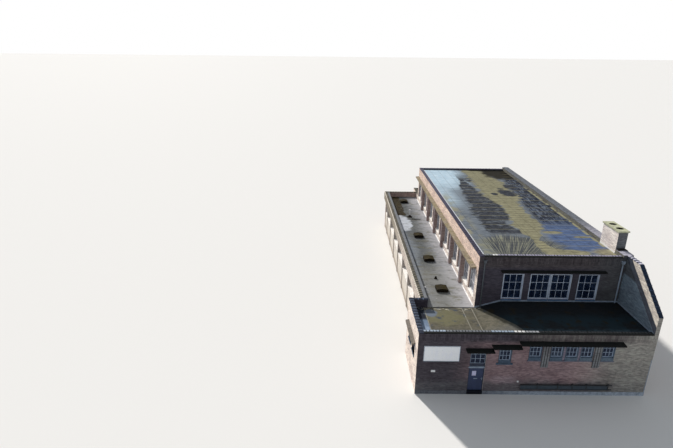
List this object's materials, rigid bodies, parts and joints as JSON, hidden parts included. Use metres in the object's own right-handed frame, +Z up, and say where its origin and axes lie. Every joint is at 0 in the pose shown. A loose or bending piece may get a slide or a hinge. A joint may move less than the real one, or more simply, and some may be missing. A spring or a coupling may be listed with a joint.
{
  "type": "school building",
  "caption": "Brick school building with a tall flat-roofed hall, a low street annexe, a corridor wing with rooflights and a raking end wall under a chimney.",
  "frame": {"origin": "middle of the footprint, on the ground", "axes": "+Z up, +Y away from the street along the hall, +X to the right seen from the street"},
  "size_m": [17.56, 39.13, 10.7],
  "materials": {
    "brick": "weathered mixed brown and buff brick in pale mortar",
    "concrete": "painted and bare concrete with lichen and water stains",
    "coping": "glazed slate-blue and greenish coping tiles, worn pale",
    "bitumen": "grey-blue bitumen sheets, damp, with moss",
    "frame": "white gloss paint, weathered",
    "door": "dark slate-blue gloss paint",
    "glass": "plain clear window glass",
    "board": "pale painted board with darker edges",
    "panel": "slate-blue painted panel",
    "pipe": "painted pipe, rusted at its joints",
    "floor": "plain concrete floor"
  },
  "bodies": {
    "building": {"front_wall_west": "brick", "front_wall_east": "brick", "front_wall_band": "brick", "front_window_piers": "brick", "front_window_fills": "brick", "front_plinth": "concrete", "entrance_step": "concrete", "annexe_west_wall": "brick", "raking_wall": "brick", "raking_coping": "coping", "annexe_roof": "bitumen", "front_copings": "coping", "annexe_west_coping": "coping", "canopies": "concrete", "west_hood": "concrete", "annexe_window_frames": "frame", "annexe_glass": "glass", "window_aprons": "panel", "ribbed_piers": "brick", "sign_board": "board", "wall_rail": "pipe", "door_frame": "frame", "hall_front_wall": "brick", "hall_rear_wall": "brick", "end_window_frames": "frame", "end_glass": "glass", "hall_end_sills": "concrete", "hall_west_wall": "brick", "hall_west_piers": "brick", "hall_west_band": "brick", "hall_west_ledge": "concrete", "hall_west_sills": "concrete", "hall_east_wall": "brick", "hall_east_piers": "brick", "hall_east_band": "brick", "side_glass": "glass", "hall_roof": "bitumen", "hall_coping": "coping", "hall_east_coping": "coping", "chimney": "brick", "chimney_cap": "concrete", "downpipes": "pipe", "wing_wall": "brick", "wing_piers": "brick", "wing_band": "concrete", "wing_end_wall": "brick", "wing_sills": "concrete", "wing_roof": "bitumen", "wing_coping": "coping", "rooflights": "concrete", "roof_vent": "pipe", "rear_side_walls": "brick", "rear_wall": "brick", "rear_roof": "bitumen", "rear_coping": "coping", "ground_floor": "floor"},
    "street_door": {"street_door": "door"}
  },
  "joints": [
    {"name": "street_door_hinge", "type": "hinge", "parent": "building", "child": "street_door", "pos_m": [-4.611, -18.913, 1.3], "axis": [0, 0, 1], "range_deg": [0, 90]}
  ]
}
